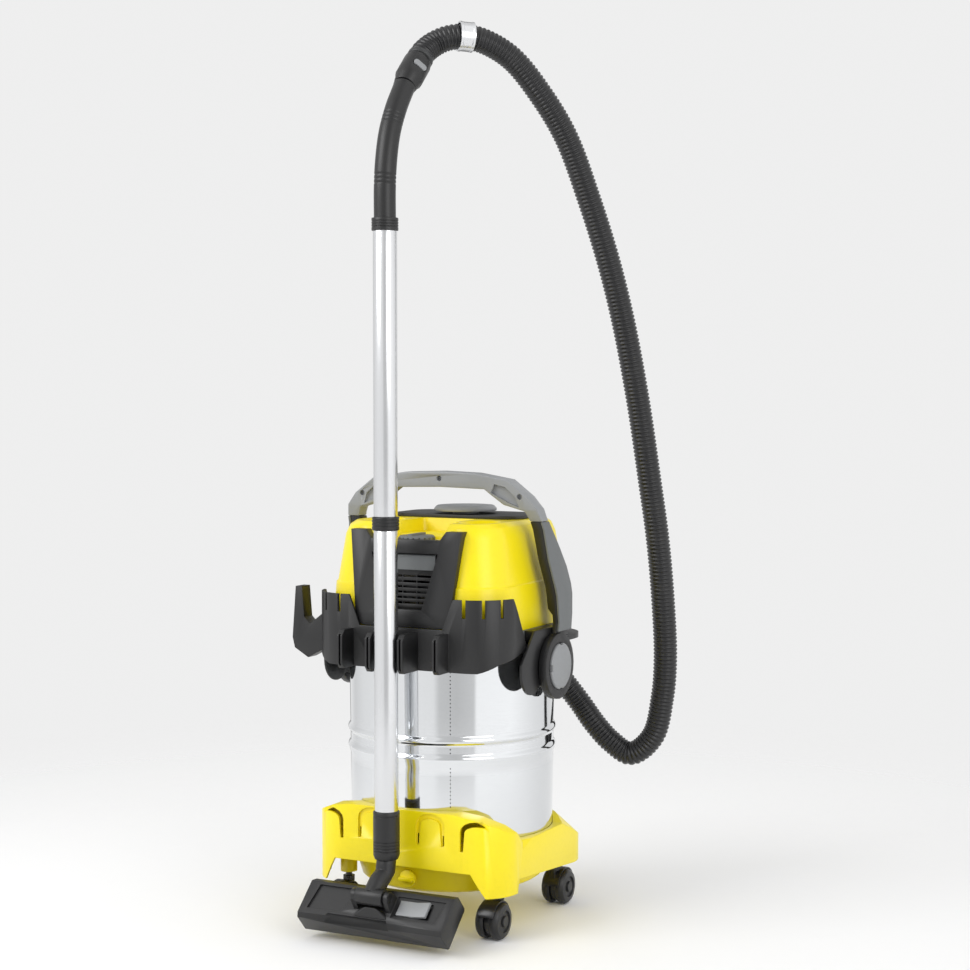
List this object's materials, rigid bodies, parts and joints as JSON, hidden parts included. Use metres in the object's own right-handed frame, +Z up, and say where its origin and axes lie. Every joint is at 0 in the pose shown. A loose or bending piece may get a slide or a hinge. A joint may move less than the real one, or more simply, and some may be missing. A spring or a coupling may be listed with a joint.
{
  "type": "shop vacuum",
  "caption": "Wet and dry shop vacuum: polished drum on castors, motor head with a swinging handle, corrugated hose, and a wand parked in a front clip above its floor nozzle.",
  "frame": {"origin": "on the floor, in the middle of the machine's extent without its hose", "axes": "+Z up, -Y the side that the wand is parked on, +X the machine's right seen from the front"},
  "size_m": [0.4895, 0.5143, 1.3588],
  "materials": {
    "yellow": "satin yellow moulding",
    "black": "fine-grained black moulding",
    "dark": "dark grey moulding",
    "grey": "mid-grey moulding",
    "light": "light grey moulding",
    "steel": "polished stainless sheet",
    "chrome": "satin chromed steel",
    "rubber": "matt black rubber",
    "paper": "pleated filter paper",
    "copper": "motor windings and core"
  },
  "bodies": {
    "base_drum_wand": {"base": "yellow", "drum": "steel", "drum_seal": "rubber", "accessory_ring": "black", "wand_lower_tube": "chrome", "wand_upper_tube": "chrome", "wand_joint_collar": "black", "wand_foot_sleeve": "black", "hand_grip": "black", "grip_cuff": "black", "nozzle_neck": "black", "inlet_elbow": "black", "hose_cuff": "dark", "hose": "rubber", "hose_band": "chrome"},
    "head": {"head_tray": "grey", "head_shell": "yellow", "cord_gland": "rubber", "top_plate": "dark", "front_panel": "black", "vent_grille": "black", "fan_housing": "dark", "motor_stator": "copper", "filter_frame": "black", "pleated_filter": "paper", "float_cage": "black", "pivot_bracket_right": "black", "pivot_bracket_left": "black"},
    "handle": {"handle_grip": "light", "handle_strip_right": "grey", "handle_strip_left": "grey", "handle_web_right": "black", "handle_web_left": "black", "pivot_cap_right": "light", "pivot_cap_left": "light"},
    "cap": {"top_cap": "light"},
    "dial": {"power_dial": "grey"},
    "catch": {"panel_catch": "grey"},
    "rotor": {"fan": "chrome", "motor_rotor": "chrome"},
    "float": {"float": "light"},
    "plug": {"drain_plug": "yellow"},
    "nozzle": {"nozzle_body": "black"},
    "pedal": {"nozzle_pedal": "light"},
    "comb": {"nozzle_comb": "rubber"},
    "button": {"cuff_button": "light"},
    "swivel": {"hose_swivel": "dark"},
    "fork_front_left": {"castor_fork_front_left": "black"},
    "wheels_front_left": {"castor_wheels_front_left": "black"},
    "fork_front_right": {"castor_fork_front_right": "black"},
    "wheels_front_right": {"castor_wheels_front_right": "black"},
    "fork_rear_left": {"castor_fork_rear_left": "black"},
    "wheels_rear_left": {"castor_wheels_rear_left": "black"},
    "fork_rear_right": {"castor_fork_rear_right": "black"},
    "wheels_rear_right": {"castor_wheels_rear_right": "black"}
  },
  "joints": [
    {"name": "castor_swivel_front_left", "type": "hinge", "parent": "base_drum_wand", "child": "fork_front_left", "pos_m": [-0.118, -0.071, 0.062], "axis": [0, 0, 1], "continuous": true},
    {"name": "castor_roll_front_left", "type": "hinge", "parent": "fork_front_left", "child": "wheels_front_left", "pos_m": [-0.118, -0.087, 0.027], "axis": [1, 0, 0], "continuous": true},
    {"name": "castor_swivel_front_right", "type": "hinge", "parent": "base_drum_wand", "child": "fork_front_right", "pos_m": [0.14, -0.071, 0.062], "axis": [0, 0, 1], "continuous": true},
    {"name": "castor_roll_front_right", "type": "hinge", "parent": "fork_front_right", "child": "wheels_front_right", "pos_m": [0.14, -0.087, 0.027], "axis": [1, 0, 0], "continuous": true},
    {"name": "castor_swivel_rear_left", "type": "hinge", "parent": "base_drum_wand", "child": "fork_rear_left", "pos_m": [-0.118, 0.125, 0.062], "axis": [0, 0, 1], "continuous": true},
    {"name": "castor_roll_rear_left", "type": "hinge", "parent": "fork_rear_left", "child": "wheels_rear_left", "pos_m": [-0.118, 0.141, 0.027], "axis": [1, 0, 0], "continuous": true},
    {"name": "castor_swivel_rear_right", "type": "hinge", "parent": "base_drum_wand", "child": "fork_rear_right", "pos_m": [0.14, 0.125, 0.062], "axis": [0, 0, 1], "continuous": true},
    {"name": "castor_roll_rear_right", "type": "hinge", "parent": "fork_rear_right", "child": "wheels_rear_right", "pos_m": [0.14, 0.141, 0.027], "axis": [1, 0, 0], "continuous": true},
    {"name": "head_lift", "type": "slide", "parent": "base_drum_wand", "child": "head", "axis": [0, 0, 1], "range_m": [0, 0.25]},
    {"name": "handle_fold", "type": "hinge", "parent": "head", "child": "handle", "pos_m": [0.011, 0.027, 0.394], "axis": [1, 0, 0], "range_deg": [-85, 0]},
    {"name": "cap_press", "type": "slide", "parent": "head", "child": "cap", "axis": [0, 0, -1], "range_m": [0, 0.004], "stiffness_N_per_m": 1500, "springref_m": -0.002},
    {"name": "dial_turn", "type": "hinge", "parent": "head", "child": "dial", "pos_m": [0.011, -0.086, 0.586], "axis": [0, 0, 1], "range_deg": [-90, 0]},
    {"name": "catch_push", "type": "hinge", "parent": "head", "child": "catch", "pos_m": [0.011, -0.1145, 0.5645], "axis": [1, 0, 0], "range_deg": [0, 10], "stiffness_Nm_per_rad": 0.4, "springref_deg": -5.73},
    {"name": "fan_spin", "type": "hinge", "parent": "head", "child": "rotor", "pos_m": [0.011, 0.051, 0.5], "axis": [0, 0, 1], "continuous": true},
    {"name": "float_rise", "type": "slide", "parent": "head", "child": "float", "axis": [0, 0, 1], "range_m": [0, 0.02]},
    {"name": "plug_turn", "type": "hinge", "parent": "base_drum_wand", "child": "plug", "pos_m": [0.017, -0.124, 0.084], "axis": [0, 1, 0], "range_deg": [0, 90]},
    {"name": "nozzle_tilt", "type": "hinge", "parent": "base_drum_wand", "child": "nozzle", "pos_m": [0.008, -0.21713, 0.07688], "axis": [1, 0, 0], "range_deg": [-40, 0]},
    {"name": "pedal_rock", "type": "hinge", "parent": "nozzle", "child": "pedal", "pos_m": [0.072, -0.2053, 0.06125], "axis": [0, 0.7314, 0.682], "range_deg": [0, 12]},
    {"name": "comb_lift", "type": "slide", "parent": "nozzle", "child": "comb", "axis": [0, -0.682, 0.7314], "range_m": [0, 0.004]},
    {"name": "button_press", "type": "slide", "parent": "base_drum_wand", "child": "button", "axis": [-0.8539, 0.3964, -0.3373], "range_m": [0, 0.002], "stiffness_N_per_m": 800, "springref_m": -0.001},
    {"name": "hose_swivel_turn", "type": "hinge", "parent": "base_drum_wand", "child": "swivel", "pos_m": [0.01474, -0.08405, 1.29556], "axis": [0.0297, 0.6841, 0.7288], "continuous": true}
  ],
  "couplings": [
    {"joint": "pedal_rock", "follows": "comb_lift", "rad_per_m": 52.3}
  ]
}
